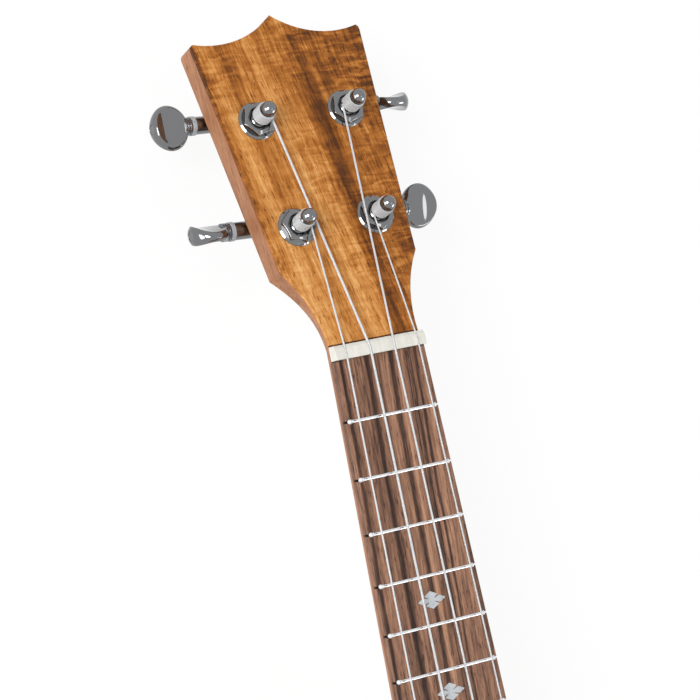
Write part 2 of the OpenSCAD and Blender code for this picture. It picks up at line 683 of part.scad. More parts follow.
// Each nut slot follows its string, first along the neck and then towards the post
module nut_slot(i) {
    b = nut_bend(i);
    e = from_face(string_end(i)) - b;
    w = string_d[i] + 2 * fit;
    translate([b.x, b.y, nut_floor]) {
        block(w, -nut_t, 0, 0, 2 * nut_rise);
        rotate([0, 0, -atan2(e.x, e.y)]) rotate([atan2(e.z, norm([e.x, e.y])), 0, 0])
            block(w, -string_d[i] / 2, nut_t, 0, 2 * nut_rise);
    }
}
module nut() color("ivory") difference() {
    translate([-nut_width / 2, nut_y, body_depth]) rotate([90, 0, 90]) linear_extrude(nut_width)
        polygon([[0, 0], [nut_t, 0], [nut_t, board_t + 0.5 * nut_rise],
                 [0.8 * nut_t, board_t + 0.86 * nut_rise], [0.5 * nut_t, board_t + nut_rise],
                 [0.12 * nut_t, board_t + nut_rise], [0, board_t + 0.85 * nut_rise]]);
    for (i = [0:3]) nut_slot(i);
}

string_slot = max(string_d) + 0.4;
saddle_l = 3 * saddle_spacing + 14;
wing_l = 9.5;
wing_r = (pow(bridge_h - wing_h, 2) + pow(wing_l, 2)) / (2 * (bridge_h - wing_h));
module bridge() color("saddlebrown") difference() {
    block(bridge_l, bridge_back, bridge_front, body_depth, body_depth + bridge_h);
    for (x = [-bridge_l / 2, bridge_l / 2])
        translate([x, bridge_back - past, body_depth + wing_h + wing_r])
            rotate([-90, 0, 0]) cylinder(r = wing_r, h = bridge_w + 2 * past, $fn = 96);
    block(saddle_l + 2 * fit, saddle_y - saddle_r - fit, saddle_y + saddle_r + fit,
          body_depth + bridge_h - saddle_seat, body_depth + bridge_h + past);
    for (i = [0:3]) translate([saddle_x(i), 0, body_depth]) {
        translate([0, bridge_back - past, knot_h])
            rotate([-90, 0, 0]) cylinder(r = knot_r + 0.45, h = knot_pocket + past, $fn = 32);
        block(string_slot, bridge_back - past, saddle_y - saddle_t,
              knot_h - string_slot / 2, bridge_h + past);
    }
}
saddle_low = body_depth + bridge_h - saddle_seat + fit;
module saddle() color("ivory") translate([-saddle_l / 2, saddle_y, 0])
    rotate([90, 0, 90]) linear_extrude(saddle_l)
        polygon(concat([[-saddle_r, saddle_low], [saddle_r, saddle_low], [saddle_r, crown_z]],
                       arc([0, crown_z], saddle_r, 0, 180, 16)));

// Gear housing: an open-backed box, round about the wheel and square about the worm
housing_z = -head_t - seat_gap;
pocket_u = max(worm_l / 2, wheel_tip) + gear_room;
pocket_v = worm_c + worm_r + worm_depth + gear_room;
housing_u = pocket_u + housing_wall;
housing_v = pocket_v + housing_wall;
corner_r = 2;
journal_l = housing_wall - 0.4;
module tongue(r, reach) polygon(concat([[-r, 0]], arc([0, 0], r, 180, 360, 24), [[r, reach], [-r, reach]]));
module housing_plan() polygon(concat(
    [[-housing_u, 0]], arc([0, 0], housing_u, 180, 360, 24),
    [[housing_u, housing_v - corner_r]],
    arc([housing_u - corner_r, housing_v - corner_r], corner_r, 0, 90, 6),
    [[corner_r - housing_u, housing_v]],
    arc([corner_r - housing_u, housing_v - corner_r], corner_r, 90, 180, 6)));
module along_worm() translate([0, worm_c, worm_z]) rotate([0, 90, 0]) children();

module tuner_housing(i) color("silver") at_tuner(i) difference() {
    union() {
        translate([0, 0, housing_z - housing_d]) linear_extrude(housing_d) housing_plan();
        translate([0, -lug_reach, housing_z - lug_t]) linear_extrude(lug_t) tongue(lug_r, lug_reach);
        along_worm() translate([0, 0, pocket_u]) cylinder(r = tube_r, h = tube_end - pocket_u, $fn = 48);
    }
    translate([0, 0, housing_z - housing_d - past]) linear_extrude(housing_d + past - housing_wall)
        tongue(pocket_u, pocket_v);
    translate([0, 0, housing_z - housing_wall - past])
        cylinder(r = post_r + fit, h = housing_wall + 2 * past, $fn = 48);
    along_worm() {
        cylinder(r = shaft_r + fit, h = tube_end + past, $fn = 48);
        translate([0, 0, -pocket_u - journal_l])
            cylinder(r = journal_r + fit, h = journal_l + past, $fn = 32);
    }
    translate([0, -lug_reach, housing_z - lug_t - past])
        cylinder(r = screw_r + fit, h = lug_t + 2 * past, $fn = 24);
}
module tuner_covers() color("silver") {
    for (i = [0:3]) at_tuner(i)
        translate([0, 0, housing_z - housing_d - cover_t]) linear_extrude(cover_t) housing_plan();
}

screw_head_r = 1.9;
screw_head_h = 1.2;
module tuner_screws() color("silver") {
    for (i = [0:3]) at_tuner(i) translate([0, -lug_reach, housing_z - lug_t]) {
        translate([0, 0, -screw_head_h]) cylinder(r = screw_head_r, h = screw_head_h, $fn = 32);
        translate([0, 0, -screw_head_h / 2])
            cylinder(r = screw_r, h = screw_head_h / 2 + lug_t + screw_bite, $fn = 24);
    }
}

mouth_r = post_r + 1.2;
mouth_d = 1.4;
hex_corner = hex_af / 2 / cos(30);
hex_turn = [44, 12, 16, 30];
module tuner_bushings() color("silver") {
    for (i = [0:3]) at_post(i) difference() {
        union() {
            intersection() {
                translate([0, 0, washer_t]) rotate([0, 0, hex_turn[i]])
                    cylinder(r = hex_corner, h = hex_h, $fn = 6);
                rotate_extrude($fn = 64)
                    polygon([[0, 0], [hex_corner + past, 0], [hex_corner + past, bush_top - 1.2],
                             [mouth_r + 0.5, bush_top + eps], [0, bush_top + eps]]);
            }
            translate([0, 0, 0.5 - head_t])
                cylinder(r = bush_r, h = head_t - 0.5 + washer_t + hex_h / 2, $fn = 48);
        }
        rotate_extrude($fn = 48)
            polygon([[0, -head_t], [post_r + fit, -head_t], [post_r + fit, bush_top - mouth_d],
                     [mouth_r, bush_top], [mouth_r, bush_top + past], [0, bush_top + past]]);
    }
}
module tuner_washers() color("silver") {
    for (i = [0:3]) at_post(i) rotate_extrude($fn = 64)
        polygon([[bush_r + fit, seat_gap], [washer_r, seat_gap], [washer_r, 0.4 * washer_t],
                 [washer_r - 0.7, washer_t], [bush_r + fit, washer_t]]);
}

// Post: riveted to its wheel below, with a barrel for the string and a ball cap above
stub_r = 0.66 * post_r;
rivet_t = 0.8;
wheel_low = worm_z - wheel_w / 2;
wheel_high = worm_z + wheel_w / 2;
ball_neck = 0.73 * ball_r;
module post(i) color("silver") at_post(i) difference() {
    union() {
        rotate_extrude($fn = 64)
            polygon([[0, wheel_low - fit - rivet_t], [1.25 * stub_r, wheel_low - fit - rivet_t],
                     [1.25 * stub_r, wheel_low - fit], [stub_r, wheel_low - fit],
                     [stub_r, wheel_high + fit],
                     [post_r, wheel_high + fit], [post_r, bush_top - mouth_d + 0.2],
                     [barrel_r, bush_top - mouth_d + 0.6],
                     [barrel_r, barrel_top], [ball_neck, barrel_top + 0.4], [ball_neck, ball_h],
                     [0, ball_h]]);
        translate([0, 0, ball_h]) sphere(r = ball_r, $fn = 64);
    }
    translate([0, 0, wind_end_h(i)]) rotate([0, 90, wind_end_angle(i)])
        cylinder(r = string_d[i] / 2 + 3 * fit, h = barrel_r + past, $fn = 24);
}

// Wheel: its teeth taper into the rounded groove of the worm
tooth_root = 0.5;
tooth_tip = 0.12;
tooth = [[wheel_root, -tooth_root], [wheel_tip, -tooth_tip],
         [wheel_tip, tooth_tip], [wheel_root, tooth_root]];
module worm_wheel(i) color("goldenrod") at_tuner(i) translate([0, 0, wheel_low]) difference() {
    linear_extrude(wheel_w)
        polygon([for (k = [0:wheel_teeth - 1], c = tooth) let(a = 90 - 360 * k / wheel_teeth)
            c.x * [cos(a), sin(a)] + c.y * [sin(a), -cos(a)]]);
    translate([0, 0, -past]) cylinder(r = stub_r + fit / 2, h = wheel_w + 2 * past, $fn = 48);
}

// Worm: a round rod carried off its axis while it turns
button_start = tube_end + spacer_t;
worm_turns = worm_l / worm_pitch;
slices_a_turn = 8;
drive_l = 7;
drive_r = 1.4;
thread_r = 0.8;
thread_l = 3;
module worm_shaft(i) color("silver") at_tuner(i) along_worm() difference() {
    union() {
        translate([0, 0, -worm_l / 2]) rotate([0, 0, 90 - 180 * worm_turns])
            linear_extrude(worm_l, twist = -360 * worm_turns, slices = round(slices_a_turn * worm_turns))
                translate([worm_depth, 0]) circle(r = worm_r, $fn = 12);
        translate([0, 0, -pocket_u - journal_l + fit])
            cylinder(r = journal_r, h = 2 * pocket_u + journal_l + 0.2, $fn = 32);
        translate([0, 0, pocket_u - fit]) cylinder(r = shaft_r, h = button_start - pocket_u, $fn = 48);
        translate([0, 0, pocket_u + past])
            cylinder(r = drive_r, h = button_start - pocket_u - past + drive_l, $fn = 32);
    }
    translate([0, 0, button_start + drive_l - thread_l])
        cylinder(r = thread_r + fit / 2, h = thread_l + past, $fn = 24);
}
module button_spacers() color("white") {
    for (i = [0:3]) at_tuner(i) along_worm() translate([0, 0, tube_end + fit]) difference() {
        cylinder(r = spacer_r, h = spacer_t - 2 * fit, $fn = 48);
        translate([0, 0, -past]) cylinder(r = shaft_r + fit, h = spacer_t + 2 * past, $fn = 48);
    }
}

// Button: an oval with two hollowed faces and a round wall, on a collar
button_sides = 28;
wall_round = 0.14;
head_sink = 1.3;
oval_mid = button_l - oval_l / 2;
function button_half_t(z) = let(d = z - oval_mid, end_t = d > 0 ? button_end_t : button_neck_t)
    (button_waist_t + (end_t - button_waist_t) * pow(2 * d / oval_l, 2)) / 2;
// Ring round the oval at a share of its size and of its thickness
function button_ring(size, t) = [for (k = [0:button_sides - 1])
    let(a = 360 * k / button_sides, z = oval_mid + size * oval_l / 2 * cos(a))
    [t * button_half_t(z), -size * oval_w / 2 * sin(a), z]];
wall_steps = [for (t = [-1:0.5:1]) [1 - wall_round * t * t, t]];
button_rings = concat([[0.04, -1], [0.5, -1]], wall_steps, [[0.5, 1], [0.04, 1]]);
module button(i) color("silver") at_tuner(i) along_worm() translate([0, 0, button_start]) difference() {
    union() {
        rotate([0, 0, button_turn[i]]) loft([for (r = button_rings) button_ring(r.x, r.y)]);
        cylinder(r = collar_r, h = collar_l, $fn = 48);
    }
    translate([0, 0, -past]) cylinder(r = drive_r + fit / 2, h = drive_l + fit + past, $fn = 32);
    cylinder(r = thread_r + fit, h = button_l, $fn = 24);
    translate([0, 0, button_l - head_sink])
        cylinder(r = button_screw_r + 2 * fit, h = head_sink + past, $fn = 32);
}
module button_screw(i) color("silver") at_tuner(i) along_worm() translate([0, 0, button_start]) {
    translate([0, 0, button_l - head_sink]) cylinder(r = button_screw_r, h = head_sink - 0.3, $fn = 32);
    translate([0, 0, drive_l - thread_l + fit])
        cylinder(r = thread_r, h = button_l - head_sink - drive_l + thread_l, $fn = 24);
}

soundboard();
rosette();
back();
side_bass();
side_treble();
top_linings();
back_linings();
neck_block();
tail_block();
soundboard_braces();
bridge_plate();
back_braces();
back_strip();
neck();
heel_cap();
headstock_veneer();
fingerboard();
frets();
position_markers();
nut();
bridge();
saddle();
tuner_covers();
tuner_bushings();
tuner_washers();
tuner_screws();
button_spacers();
for (i = [0:3]) {
    string(i);
    tuner_housing(i);
    post(i);
    worm_wheel(i);
    winding(i);
    worm_shaft(i);
    button(i);
    button_screw(i);
}
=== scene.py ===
"""Looks of the concert ukulele: woods, plated tuners, strings, studio and camera.

Metres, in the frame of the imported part: +Z up, +Y along the neck, the back on z = 0.
"""
import math

import bpy
from mathutils import Matrix, Vector


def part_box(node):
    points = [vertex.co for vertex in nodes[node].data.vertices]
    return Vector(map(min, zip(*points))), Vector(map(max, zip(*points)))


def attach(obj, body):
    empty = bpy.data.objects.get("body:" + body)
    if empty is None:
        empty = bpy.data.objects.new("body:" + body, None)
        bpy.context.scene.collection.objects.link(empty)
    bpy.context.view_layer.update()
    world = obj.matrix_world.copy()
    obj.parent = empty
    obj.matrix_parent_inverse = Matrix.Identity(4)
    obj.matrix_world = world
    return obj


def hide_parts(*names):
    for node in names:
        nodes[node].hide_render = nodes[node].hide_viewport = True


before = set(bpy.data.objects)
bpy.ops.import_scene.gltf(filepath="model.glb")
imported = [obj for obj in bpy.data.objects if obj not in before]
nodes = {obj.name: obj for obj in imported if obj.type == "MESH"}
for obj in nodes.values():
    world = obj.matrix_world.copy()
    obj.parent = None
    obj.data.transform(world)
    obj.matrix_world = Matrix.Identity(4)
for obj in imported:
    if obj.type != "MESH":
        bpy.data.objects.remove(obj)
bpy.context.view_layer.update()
MM = 0.001

# Sizes that the pieces below share with the part's source, in millimetres
STRINGS = "gcea"
STRING_D = (0.68, 0.9, 0.78, 0.6)
SCALE_LENGTH, BODY_LENGTH, BODY_DEPTH, BODY_FRET = 380, 282, 66, 14
BOARD_T, NUT_T, NUT_GAP, NUT_ACTION, SADDLE_ACTION = 2.4, 5, 0.05, 1.5, 5.5
HEAD_TILT, HEAD_LENGTH, VENEER_T, CORE_T, FACE_DROP = 12.2, 123.3, 0.8, 9.2, 1.6
POSTS = ((-15.9, 44.0), (-18.0, 84.5), (18.0, 84.5), (15.9, 44.0))
NUT_SPACING, NUT_OFFSET, SADDLE_SPACING, SADDLE_SHIFT, SADDLE_T = 9.63, 0.5, 14.4, 1.5, 3
BARREL_R, BUSH_TOP, BARREL_L, WIND_GAP_LEFT, WIND_GAP_RIGHT = 2.5, 3.3, 5.3, 1.9, 0.7
BRIDGE_W, KNOT_POCKET, KNOT_H, KNOT_R = 21, 4, 3, 1.35
TUNER_TURN, WORM_C, WORM_BACK, BUTTON_START = 2.3, 6.0, 4.0, 18.7
BUTTON_L, OVAL_L, OVAL_W = 14.8, 14, 16.4
BUTTON_END_T, BUTTON_WAIST_T, BUTTON_NECK_T, COLLAR_R, COLLAR_L = 7.7, 4, 5.4, 3.25, 2.4
BUTTON_SCREW_R, HEAD_SINK = 1.7, 1.3
BUTTON_TURN = (-62, 8, -70, 25)
FIT, STRING_LIFT = 0.05, 0.03

TILT = math.radians(HEAD_TILT)
BOARD_Z = BODY_DEPTH + BOARD_T
FACE_START = NUT_T + NUT_GAP + VENEER_T * math.sin(TILT)


def fret_at(n):
    return SCALE_LENGTH * (1 - 2 ** (-n / 12))


NUT_Y = (fret_at(BODY_FRET) + BODY_LENGTH - FACE_START - HEAD_LENGTH * math.cos(TILT)) / 2
FACE_O = Vector((0, NUT_Y + FACE_START, BOARD_Z - FACE_DROP))
# Columns: across the face, along it to the crown, out of it
FACE_AXES = Matrix(((1, 0, 0), (0, math.cos(TILT), math.sin(TILT)), (0, -math.sin(TILT), math.cos(TILT))))


def from_face(p):
    return FACE_O + FACE_AXES @ Vector(p)


def to_face(p):
    return FACE_AXES.transposed() @ (Vector(p) - FACE_O)


# Node graphs
BUMP_STRENGTH = 0.4


class Graph:
    """A material's node tree with short calls for the nodes that the finishes use."""

    def __init__(self, name):
        self.material = bpy.data.materials.new(name)
        self.material.use_nodes = True
        self.tree = self.material.node_tree
        self.tree.nodes.clear()

    def node(self, kind, inputs=None, **settings):
        n = self.tree.nodes.new("ShaderNode" + kind)
        for key, value in settings.items():
            setattr(n, key, value)
        for key, value in (inputs or {}).items():
            self.put(n.inputs[key], value)
        return n

    def put(self, socket, value):
        if isinstance(value, bpy.types.NodeSocket):
            self.tree.links.new(value, socket)
        else:
            socket.default_value = value

    def math(self, operation, a, b=0.0, c=0.0, clamp=False):
        n = self.node("Math", operation=operation, use_clamp=clamp)
        for socket, value in zip(n.inputs, (a, b, c)):
            self.put(socket, value)
        return n.outputs[0]

    def scaled(self, vector, factors):
        return self.node("VectorMath", {0: vector, 1: factors}, operation="MULTIPLY").outputs[0]

    def noise(self, vector, detail=4.0, roughness=0.55, distortion=0.0):
        return self.node("TexNoise", {"Vector": vector, "Scale": 1.0, "Detail": detail,
                                      "Roughness": roughness, "Distortion": distortion}).outputs[0]

    def span(self, value, low, high, to_low=0.0, to_high=1.0, smooth=True):
        kind = "SMOOTHSTEP" if smooth else "LINEAR"
        n = self.node("MapRange", {0: value, 1: low, 2: high, 3: to_low, 4: to_high}, interpolation_type=kind)
        return n.outputs[0]

    def ramp(self, value, stops):
        n = self.node("ValToRGB", {0: value})
        band = n.color_ramp
        while len(band.elements) < len(stops):
            band.elements.new(0.5)
        for element, (place, colour) in zip(band.elements, stops):
            element.position = place
            element.color = (*colour, 1)
        return n.outputs[0]

    def mix(self, factor, a, b):
        n = self.node("Mix", data_type="RGBA")
        for socket, value in ((n.inputs[0], factor), (n.inputs[6], a), (n.inputs[7], b)):
            self.put(socket, value)
        return n.outputs[2]

    def place(self, origin=(0, 0, 0), turn=(0, 0, 0)):
        """Coordinates in millimetres about an origin in millimetres, along turned axes."""
        here = self.node("TexCoord").outputs["Object"]
        there = self.node("Mapping", {"Vector": here, "Location": [v * MM for v in origin], "Rotation": turn},
                          vector_type="TEXTURE").outputs[0]
        return self.scaled(there, (1000, 1000, 1000))

    def bump(self, height, depth):
        return self.node("Bump", {"Height": height, "Distance": depth * MM,
                                  "Strength": BUMP_STRENGTH}).outputs[0]

    def surface(self, **inputs):
        names = {"base": "Base Color", "specular": "Specular IOR Level", "coat": "Coat Weight",
                 "coat_roughness": "Coat Roughness"}
        shader = self.node("BsdfPrincipled",
                           {names.get(k, k.capitalize()): v for k, v in inputs.items()})
        out = self.node("OutputMaterial")
        self.tree.links.new(shader.outputs[0], out.inputs[0])
        return self.material


def rgba(r, g, b):
    return (r, g, b, 1.0)


# Woods
KOA = ((0.0, (0.07, 0.021, 0.004)), (0.25, (0.19, 0.057, 0.007)), (0.5, (0.36, 0.121, 0.018)),
       (0.75, (0.55, 0.238, 0.06)), (1.0, (0.71, 0.39, 0.14)))
GRAIN_SLOPE = 0.117
# Mean tones of the two kinds of wood, and the gain of a plain wood's bands
KOA_TONE, WOOD_TONE, BAND_GAIN = 0.645, 0.56, 1.3
# Half the soft edge of the neck's dark border, and its depth
BORDER_SOFT, BORDER_DEPTH = 0.3, 0.36
# Streaks of the face: place across the grain, half width, depth (negative for a light streak), and where those
# that don't reach the nut start
FACE_STREAKS = ((18.4, 1.0, 0.14), (15.2, 1.2, 0.14), (12.6, 0.8, 0.12), (10.2, 1.3, 0.1), (7.4, 0.8, 0.1),
                (4.5, 0.7, 0.09), (-1.5, 0.8, 0.1), (-11.3, 1.6, 0.1), (-7.5, 0.6, 0.07), (-20.5, 2.6, 0.16),
                (26.5, 1.6, 0.1), (31.5, 1.8, 0.08), (22.5, 2.5, -0.1), (1.6, 1.8, -0.07),
                (-15.5, 2.5, -0.06), (5.0, 5.0, 0.18, 102), (15.5, 4.5, -0.14, 96), (-6.0, 4.0, -0.1, 92),
                (35.5, 4.0, -0.08, 92), (-9.0, 9.0, 0.08, 58), (3.5, 6.5, -0.07))
# Broad dark band, right of which the face is darker: its place at the nut, lean, half width and depth
FACE_BAND = (10.6, 0.04, 5.5, 0.3)
# Ragged dark edge on the left of the face: its place at the nut, its lean, width and depth
FACE_EDGE = (-25.1, 0.0815, 1.7, 0.34)


def koa(name, origin=(0, 0, 0), turn=(0, 0, 0), streaks=(), slope=0.0, wander=11.0, band=None, dark_end=None,
        edge=None, foot=0.0, seed=0.0, bent=0.0, figure=0.5):
    """Curly acacia along the local y axis.

    band is a dark band with a darker side, dark_end the place along the grain where it darkens, edge a dark
    border, foot the width of a dark line across the start, wander how far the streaks stray, bent the mean
    radius of a strip that is bent round the origin, and figure the strength of the curl.
    """
    g = Graph(name)
    p = g.place(origin, turn)
    x, y, z = g.node("SeparateXYZ", {0: p}).outputs
    if bent:
        x, y, z = z, g.math("MULTIPLY", g.math("ARCTAN2", x, y), bent), bent
    z = g.math("ADD", z, seed)

    def field(across, along, detail=3.0, roughness=0.55, distortion=0.0, q=None):
        """Noise about zero, with a feature size across and along the grain in millimetres."""
        spot = g.node("CombineXYZ", {0: q or x, 1: y, 2: z}).outputs[0]
        scale = (1 / across, 1 / along, 1 / across)
        return g.math("SUBTRACT", g.noise(g.scaled(spot, scale), detail, roughness, distortion), 0.5)

    drift = g.math("MULTIPLY", field(45, 70, 2), wander)
    waver = g.math("MULTIPLY", field(14, 9, 2), 0.9)
    stray = g.math("ADD", drift, waver)
    q = g.math("ADD", g.math("MULTIPLY_ADD", y, slope, x), stray)
    tone = g.math("MULTIPLY_ADD", field(9, 130, 3, 0.6, q=q), 0.5, KOA_TONE)
    if band is not None:
        place, lean, half, depth = band
        off = g.math("SUBTRACT", g.math("ADD", g.math("MULTIPLY_ADD", y, lean, x), stray), place)
        fade = g.span(y, 84, 108, 1, 0.4)
        dark = g.span(g.math("ABSOLUTE", off), 0, half, depth, 0)
        tone = g.math("SUBTRACT", tone, g.math("MULTIPLY", dark, fade))
        side = g.math("MULTIPLY", g.span(off, -6, 4), g.span(y, 20, 70, 0.34, 0.2))
        tone = g.math("ADD", g.math("SUBTRACT", tone, side), g.span(y, 15, 65, 0.1, 0))
    if dark_end is not None:
        tone = g.math("SUBTRACT", tone, g.span(y, dark_end - 25, dark_end + 10, 0, 0.13))
    if edge is not None:
        place, lean, width, depth = edge
        inward = g.math("SUBTRACT", g.math("MULTIPLY_ADD", y, lean, x), place)
        ragged = g.math("MULTIPLY_ADD", field(4, 3, 3, 0.6), 5.0, inward)
        tone = g.math("SUBTRACT", tone, g.span(ragged, 0.3, 0.3 + width, depth, 0))
    if foot:
        tone = g.math("SUBTRACT", tone, g.span(y, 0.6 * foot, foot, 0.7, 0))
    for place, half, depth, *start in streaks:
        off = g.math("ABSOLUTE", g.math("SUBTRACT", q, place))
        amount = g.span(off, 0, half, depth, 0)
        for along in start:
            amount = g.math("MULTIPLY", amount, g.span(y, along - 9, along + 9))
        tone = g.math("SUBTRACT", tone, amount)
    # Curl: short bands across the grain, in patches
    patch = g.span(field(30, 42, 2), -0.12, 0.14, 0.35, 1.0)
    if dark_end is not None:
        patch = g.math("ADD", patch, g.span(y, dark_end - 22, dark_end, 0, 0.4))
    if band is not None:
        patch = g.math("MULTIPLY", patch, g.span(g.math("SUBTRACT", x, band[0]), -26, -8, 0.65, 1))
        patch = g.math("ADD", patch, g.span(g.math("SUBTRACT", x, band[0]), 2, 10, 0, 0.55))
    curl = g.math("MULTIPLY_ADD", field(15, 5, 2, 0.5, 0.5), 0.4, field(7.5, 2.0, 2, 0.5, 0.8))
    tone = g.math("MULTIPLY_ADD", curl, g.math("MULTIPLY", patch, figure), tone)
    # Fibres, from long lines to single dashes
    tone = g.math("MULTIPLY_ADD", field(1.8, 45, 5, 0.65, q=q), 0.6, tone)
    tone = g.math("MULTIPLY_ADD", field(0.8, 9, 4, 0.62, q=q), 0.8, tone)
    hair = field(0.3, 3.2, 2, 0.5, q=q)
    tone = g.math("MULTIPLY_ADD", hair, 0.4, tone)
    pores = g.span(field(0.6, 4.2, 2, 0.5, q=q), 0.11, 0.17)
    tone = g.math("MULTIPLY_ADD", pores, -0.34, tone, clamp=True)
    height = g.math("MULTIPLY_ADD", pores, -1.0, hair)
    return g.surface(base=g.ramp(tone, KOA), roughness=g.span(tone, 0.2, 0.9, 0.5, 0.4, False), specular=0.2,
                     normal=g.bump(height, 0.05))


def plain_wood(name, stops, size, pore, rough, contrast, fibre, sheen=0.3, origin=(0, 0, 0),
               streaks=(), slope=0.0, slotted=False, dark_border=0.0):
    """Straight-grained wood along the local y axis: broad bands, fibres, open pores and placed streaks.

    A slotted wood is darker at the ends of the fret slots along its edges, counted from the origin.
    dark_border is the height of a dark border on the neck under the fingerboard.
    """
    g = Graph(name)
    p = g.place(origin)
    x, y, z = g.node("SeparateXYZ", {0: p}).outputs
    drift = g.math("MULTIPLY", g.math("SUBTRACT", g.noise(g.scaled(p, (0.05, 0.012, 0.05)), 2), 0.5), 2.6)
    q = g.math("ADD", g.math("MULTIPLY_ADD", y, slope, x), drift)
    grain = g.node("CombineXYZ", {0: q, 1: y, 2: z}).outputs[0]

    def field(across, along, detail=3.0, roughness=0.55):
        spot = g.scaled(grain, (1 / across, 1 / along, 1 / across))
        return g.math("SUBTRACT", g.noise(spot, detail, roughness), 0.5)

    tone = g.math("MULTIPLY_ADD", field(3.2 * size, 150, 3), contrast * BAND_GAIN, WOOD_TONE)
    tone = g.math("MULTIPLY_ADD", field(size, 60, 4, 0.62), contrast * BAND_GAIN, tone)
    fine = field(0.5 * size, 9, 3, 0.62)
    tone = g.math("MULTIPLY_ADD", fine, fibre, tone)
    for place, half, depth in streaks:
        off = g.math("ABSOLUTE", g.math("SUBTRACT", q, place))
        tone = g.math("SUBTRACT", tone, g.span(off, 0, half, depth, 0))
    pores = g.span(field(0.5, 4.5, 2, 0.5), 0.1, 0.17)
    tone = g.math("MULTIPLY_ADD", pores, -pore, tone, clamp=True)
    if slotted:
        tone = g.math("SUBTRACT", tone, slot_ends(g, x, y), clamp=True)
    if dark_border:
        border = g.span(z, BODY_DEPTH - dark_border - BORDER_SOFT, BODY_DEPTH - dark_border + BORDER_SOFT)
        under = g.span(y, NUT_Y - 1, NUT_Y, BORDER_DEPTH, 0)
        tone = g.math("SUBTRACT", tone, g.math("MULTIPLY", border, under), clamp=True)
    height = g.math("MULTIPLY_ADD", pores, -1.0, fine)
    return g.surface(base=g.ramp(tone, stops), roughness=rough, specular=sheen, normal=g.bump(height, 0.06))


def past_nut_width(g, x, y):
    """Distance of a point of the board from its middle line, less what the board widens from the nut on."""
    return g.math("MULTIPLY_ADD", y, BOARD_FLARE, g.math("ABSOLUTE", x))


def slot_ends(g, x, y):
    """1 at the ends of the fret slots, 0 elsewhere."""
    left = g.math("ADD", y, SCALE_LENGTH)
    number = g.math("MULTIPLY", g.math("LOGARITHM", g.math("DIVIDE", left, SCALE_LENGTH), 2.0), -12.0)
    miss = g.math("ABSOLUTE", g.math("SUBTRACT", number, g.math("ROUND", number)))
    spacing = g.math("MULTIPLY", left, math.log(2) / 12)
    line = g.span(g.math("MULTIPLY", miss, spacing), 0.32, 0.48, 1, 0)
    return g.math("MULTIPLY", line, g.span(past_nut_width(g, x, y), SLOT_END - 0.1, SLOT_END + 0.1))


face_koa = koa("koa_face", FACE_O, (-TILT, 0, 0), FACE_STREAKS, GRAIN_SLOPE, wander=3.0, band=FACE_BAND,
               dark_end=100.0, edge=FACE_EDGE, foot=0.55, seed=3.0, figure=0.9)
body_koa = koa("koa_body", streaks=((18, 4, 0.2), (-26, 5, 0.14), (55, 6, 0.12), (-70, 5, 0.16)), seed=11.0)
side_lo, side_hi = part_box("side_bass")
SIDE_MIDDLE = (0, (side_lo[1] + side_hi[1]) / 2 / MM, 0)
side_koa = koa("koa_sides", SIDE_MIDDLE, streaks=((20, 3, 0.14), (47, 4, 0.12)), seed=5.0, bent=120.0)
MAHOGANY = ((0.0, (0.12, 0.043, 0.019)), (0.4, (0.285, 0.117, 0.053)), (0.7, (0.405, 0.188, 0.092)),
            (1.0, (0.53, 0.28, 0.15)))
MAHOGANY_GRAIN = {"size": 1.1, "pore": 0.34, "rough": 0.46, "contrast": 0.5, "fibre": 0.6, "sheen": 0.22}
mahogany = plain_wood("mahogany", MAHOGANY, **MAHOGANY_GRAIN)
neck_mahogany = plain_wood("mahogany_neck", MAHOGANY, dark_border=1.4, **MAHOGANY_GRAIN)
# Dark and light lines of the fingerboard: place at the nut, half width, depth (negative for a light line)
BOARD_STREAKS = ((-15.9, 1.2, 0.5), (-5.6, 1.5, 0.54), (4.1, 1.5, 0.56), (13.8, 1.0, 0.5), (-10.4, 0.6, 0.14),
                 (9.9, 0.4, 0.3), (11.6, 0.35, 0.26), (-1.0, 0.5, 0.12), (-18.7, 2.4, 0.22),
                 (10.8, 3.0, 0.12), (6.4, 1.1, -0.22), (-3.2, 1.2, -0.1), (-12.4, 1.6, -0.07),
                 (16.6, 1.2, -0.08))
BOARD_DRIFT = 0.037
# Half the board's width at the nut less the length of a slot's visible end, and how fast the half width grows
SLOT_END, BOARD_FLARE = 16.5, 0.0237
ROSEWOOD = ((0.0, (0.022, 0.01, 0.007)), (0.3, (0.088, 0.042, 0.026)), (0.6, (0.228, 0.113, 0.07)),
            (1.0, (0.44, 0.238, 0.142)))
ROSEWOOD_GRAIN = {"pore": 0.34, "rough": 0.5, "fibre": 1.0, "sheen": 0.24}
board_rosewood = plain_wood("rosewood_board", ROSEWOOD, size=1.5, contrast=0.8, origin=(0, NUT_Y, BOARD_Z),
                            streaks=BOARD_STREAKS, slope=-BOARD_DRIFT, slotted=True, **ROSEWOOD_GRAIN)
rosewood = plain_wood("rosewood", ROSEWOOD, size=1.8, contrast=0.9, **ROSEWOOD_GRAIN)
spruce = plain_wood("spruce", ((0.0, (0.5, 0.33, 0.16)), (0.5, (0.66, 0.48, 0.26)), (1.0, (0.76, 0.6, 0.37))),
                    size=1.0, pore=0.05, rough=0.62, contrast=0.35, fibre=0.5)


